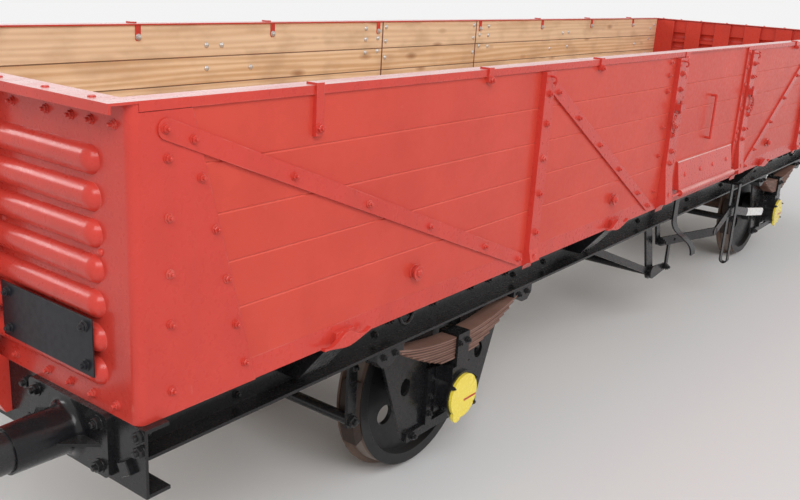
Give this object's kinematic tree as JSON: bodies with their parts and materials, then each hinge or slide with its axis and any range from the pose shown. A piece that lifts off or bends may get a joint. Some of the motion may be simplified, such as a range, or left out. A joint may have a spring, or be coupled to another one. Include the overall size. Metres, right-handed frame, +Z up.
{
  "type": "open tube wagon",
  "caption": "Long two-axle open railway wagon for tubes, with planked sides, ribbed steel ends, a drop door in each side, buffers and clasp brakes.",
  "frame": {"origin": "on the floor under the wheel flanges, at the middle of the wagon", "axes": "+X along the wagon to its rear end, +Y to its right side, +Z up"},
  "size_m": [10.338, 2.53, 2.0904],
  "materials": {
    "body_red": "satin",
    "planks_red": "satin paint on boards",
    "bare_timber": "unpainted",
    "frame_black": "gloss",
    "panel_black": "satin",
    "bright_steel": "satin",
    "brake_iron": "rusty",
    "spring_steel": "rusty",
    "cover_yellow": "gloss",
    "grip_white": "gloss",
    "wheel_steel": "worn",
    "axle_steel": "rusty"
  },
  "bodies": {
    "wagon": {"solebars": "frame_black", "headstocks": "frame_black", "longitudinals": "frame_black", "cross_bearers": "frame_black", "curb_brackets": "frame_black", "v_hangers": "frame_black", "brake_shaft": "frame_black", "brake_cylinder": "frame_black", "brake_rods": "frame_black", "brake_levers": "frame_black", "lever_brackets": "frame_black", "lever_links": "frame_black", "lever_guides": "frame_black", "door_springs": "frame_black", "w_irons": "frame_black", "horn_guides": "frame_black", "axleboxes": "frame_black", "buffer_housings": "frame_black", "draw_hooks": "frame_black", "couplings": "frame_black", "brake_beams": "frame_black", "brake_hangers": "frame_black", "spring_shoes": "frame_black", "spring_buckles": "frame_black", "buffer_rams": "bright_steel", "brake_blocks": "brake_iron", "springs": "spring_steel", "axlebox_covers": "cover_yellow", "lever_grips": "grip_white", "floor_boards": "bare_timber", "curb_rails": "body_red", "side_posts": "body_red", "diagonal_straps": "body_red", "end_front": "body_red", "end_rear": "body_red", "end_linings": "body_red", "end_stanchions": "body_red", "coping_sides": "body_red", "coping_ends": "body_red", "coping_clips": "body_red", "rope_fittings": "body_red", "door_catches": "body_red", "hinge_rods": "body_red", "side_planks": "planks_red", "end_panels": "panel_black"},
    "door_left": {"door_planks_left": "planks_red", "door_irons_left": "body_red"},
    "door_right": {"door_planks_right": "planks_red", "door_irons_right": "body_red"},
    "wheelset_front": {"wheels_front": "wheel_steel", "axle_front": "axle_steel"},
    "wheelset_rear": {"wheels_rear": "wheel_steel", "axle_rear": "axle_steel"}
  },
  "joints": [
    {"name": "wheelset_front_spin", "type": "hinge", "parent": "wagon", "child": "wheelset_front", "pos_m": [-2.667, 0, 0.4866], "axis": [0, 1, 0], "continuous": true},
    {"name": "wheelset_rear_spin", "type": "hinge", "parent": "wagon", "child": "wheelset_rear", "pos_m": [2.667, 0, 0.4866], "axis": [0, 1, 0], "continuous": true},
    {"name": "door_left_drop", "type": "hinge", "parent": "wagon", "child": "door_left", "pos_m": [0, -1.244, 1.1946], "axis": [1, 0, 0], "range_deg": [0, 180]},
    {"name": "door_right_drop", "type": "hinge", "parent": "wagon", "child": "door_right", "pos_m": [0, 1.244, 1.1946], "axis": [-1, 0, 0], "range_deg": [0, 180]}
  ]
}
